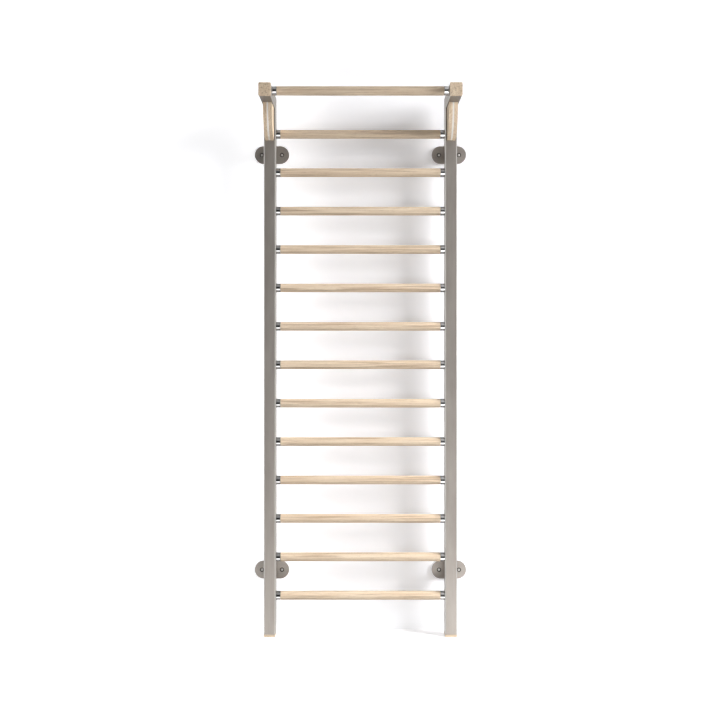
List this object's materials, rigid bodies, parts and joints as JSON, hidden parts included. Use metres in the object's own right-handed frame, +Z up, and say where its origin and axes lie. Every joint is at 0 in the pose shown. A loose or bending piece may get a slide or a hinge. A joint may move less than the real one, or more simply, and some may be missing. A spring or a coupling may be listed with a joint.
{
  "type": "wall bars",
  "caption": "Wall bars: steel uprights on wall plates carry round oak rungs with polished collars; gusseted arms at the top hold an oak pull-up bar out from the wall.",
  "frame": {"origin": "on the wall plane, midway between the uprights, level with the underside of the feet", "axes": "+Z up along the uprights, +Y into the wall, +X to the right as seen from the room"},
  "size_m": [0.953, 0.33, 2.382],
  "materials": {
    "oak": "pale limed oak, matt oil",
    "satin_steel": "warm grey, satin",
    "polished_steel": "mirror polished",
    "screw_steel": "bright"
  },
  "bodies": {
    "root": {"left_upright": "satin_steel", "left_arm": "satin_steel", "left_foot": "oak", "left_arm_end": "oak", "left_gusset_plate": "satin_steel", "left_gusset_inner_cheek": "oak", "left_gusset_outer_cheek": "oak", "left_lower_wall_plate": "satin_steel", "left_lower_stand_off": "satin_steel", "left_lower_wall_screw_a": "screw_steel", "left_lower_wall_screw_b": "screw_steel", "left_upper_wall_plate": "satin_steel", "left_upper_stand_off": "satin_steel", "left_upper_wall_screw_a": "screw_steel", "left_upper_wall_screw_b": "screw_steel", "right_upright": "satin_steel", "right_arm": "satin_steel", "right_foot": "oak", "right_arm_end": "oak", "right_gusset_plate": "satin_steel", "right_gusset_inner_cheek": "oak", "right_gusset_outer_cheek": "oak", "right_lower_wall_plate": "satin_steel", "right_lower_stand_off": "satin_steel", "right_lower_wall_screw_a": "screw_steel", "right_lower_wall_screw_b": "screw_steel", "right_upper_wall_plate": "satin_steel", "right_upper_stand_off": "satin_steel", "right_upper_wall_screw_a": "screw_steel", "right_upper_wall_screw_b": "screw_steel", "rung_01": "oak", "rung_core_01": "polished_steel", "rung_02": "oak", "rung_core_02": "polished_steel", "rung_03": "oak", "rung_core_03": "polished_steel", "rung_04": "oak", "rung_core_04": "polished_steel", "rung_05": "oak", "rung_core_05": "polished_steel", "rung_06": "oak", "rung_core_06": "polished_steel", "rung_07": "oak", "rung_core_07": "polished_steel", "rung_08": "oak", "rung_core_08": "polished_steel", "rung_09": "oak", "rung_core_09": "polished_steel", "rung_10": "oak", "rung_core_10": "polished_steel", "rung_11": "oak", "rung_core_11": "polished_steel", "rung_12": "oak", "rung_core_12": "polished_steel", "rung_13": "oak", "rung_core_13": "polished_steel", "pull_up_bar": "oak", "pull_up_bar_core": "polished_steel"}
  },
  "joints": []
}
